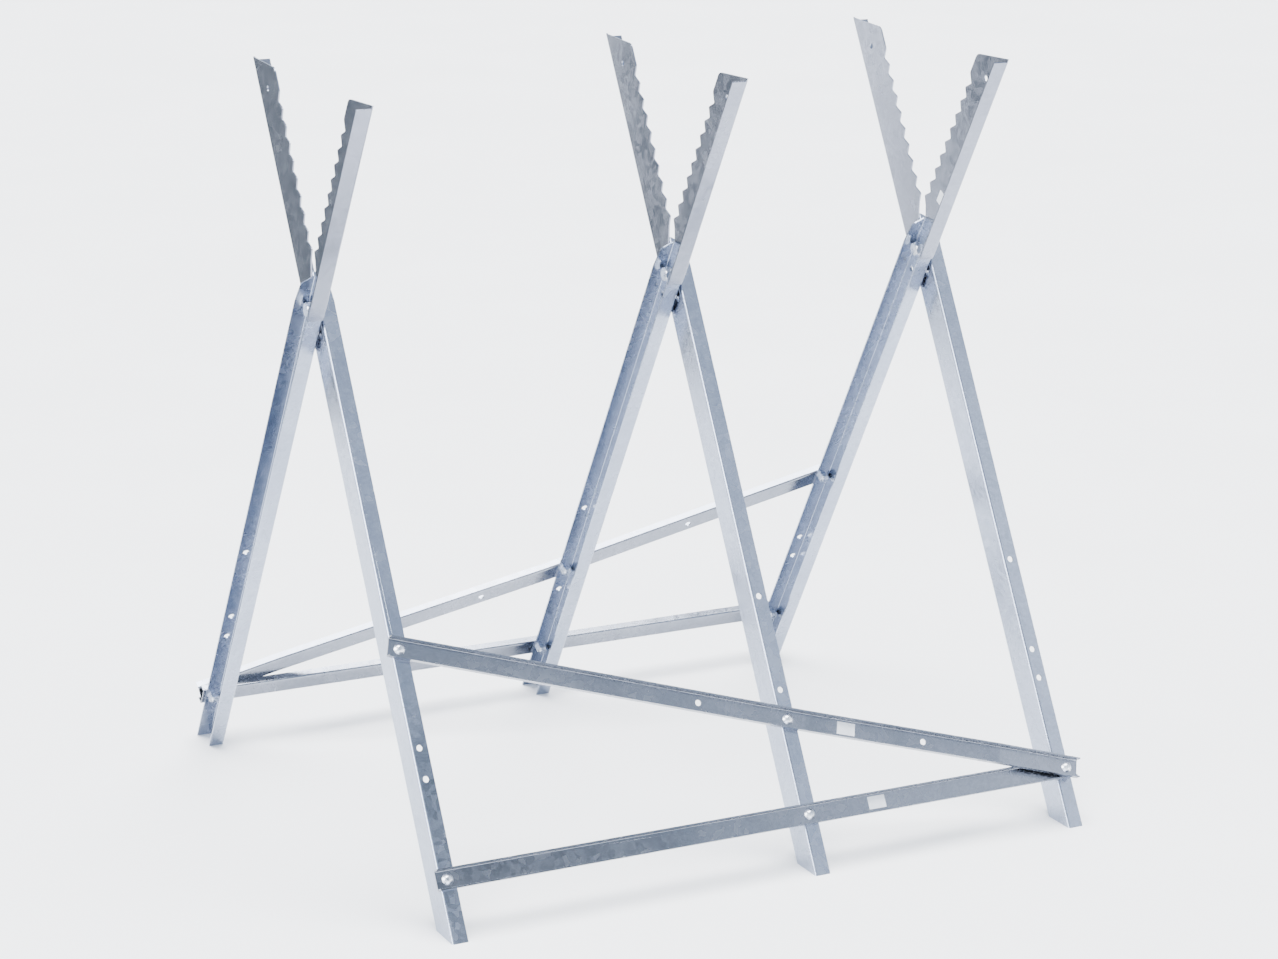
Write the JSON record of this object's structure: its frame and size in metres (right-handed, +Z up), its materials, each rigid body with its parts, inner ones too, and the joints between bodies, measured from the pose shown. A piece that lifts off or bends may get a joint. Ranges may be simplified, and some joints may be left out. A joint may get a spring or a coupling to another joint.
{
  "type": "folding log sawhorse",
  "caption": "Folding sheet-steel sawhorse for logs: crossed channel legs with toothed V jaws, joined by lower and diagonal braces and folding on one pivot line.",
  "frame": {"origin": "on the floor, under the middle of the footprint", "axes": "+Z up, +X along the log and the pivot line, -Y towards the side whose diagonal brace carries the sticker"},
  "size_m": [0.7578, 0.6596, 0.7881],
  "materials": {
    "galvanised_leg": "satin hot-dip galvanised sheet steel",
    "galvanised_jaw": "satin galvanised sheet steel, duller grey",
    "galvanised_brace": "satin galvanised sheet steel",
    "zinc_hardware": "bright zinc-plated steel",
    "sticker": "matt white self-adhesive film"
  },
  "bodies": {
    "front_side": {"front_leg_left": "galvanised_leg", "front_jaw_left": "galvanised_jaw", "front_leg_middle": "galvanised_leg", "front_jaw_middle": "galvanised_jaw", "front_leg_right": "galvanised_leg", "front_jaw_right": "galvanised_jaw", "front_lower_brace": "galvanised_brace", "front_diagonal_brace": "galvanised_brace", "front_brace_bolts": "zinc_hardware", "front_brace_nuts": "zinc_hardware", "diagonal_brace_label": "sticker", "lower_brace_label": "sticker"},
    "rear_side": {"rear_leg_left": "galvanised_leg", "rear_jaw_left": "galvanised_jaw", "rear_leg_middle": "galvanised_leg", "rear_jaw_middle": "galvanised_jaw", "rear_leg_right": "galvanised_leg", "rear_jaw_right": "galvanised_jaw", "rear_lower_brace": "galvanised_brace", "rear_diagonal_brace": "galvanised_brace", "rear_brace_bolts": "zinc_hardware", "rear_brace_nuts": "zinc_hardware", "pivot_bolt_left": "zinc_hardware", "pivot_lock_nut_left": "zinc_hardware", "pivot_bolt_middle": "zinc_hardware", "pivot_lock_nut_middle": "zinc_hardware", "pivot_bolt_right": "zinc_hardware", "pivot_lock_nut_right": "zinc_hardware", "pivot_head_washers": "zinc_hardware", "pivot_nut_washers": "zinc_hardware", "rear_jaw_label_middle": "sticker", "rear_jaw_label_right": "sticker"}
  },
  "joints": [
    {"name": "fold_hinge", "type": "hinge", "parent": "front_side", "child": "rear_side", "pos_m": [0, 0, 0.558], "axis": [-1, 0, 0], "range_deg": [0, 56]}
  ]
}
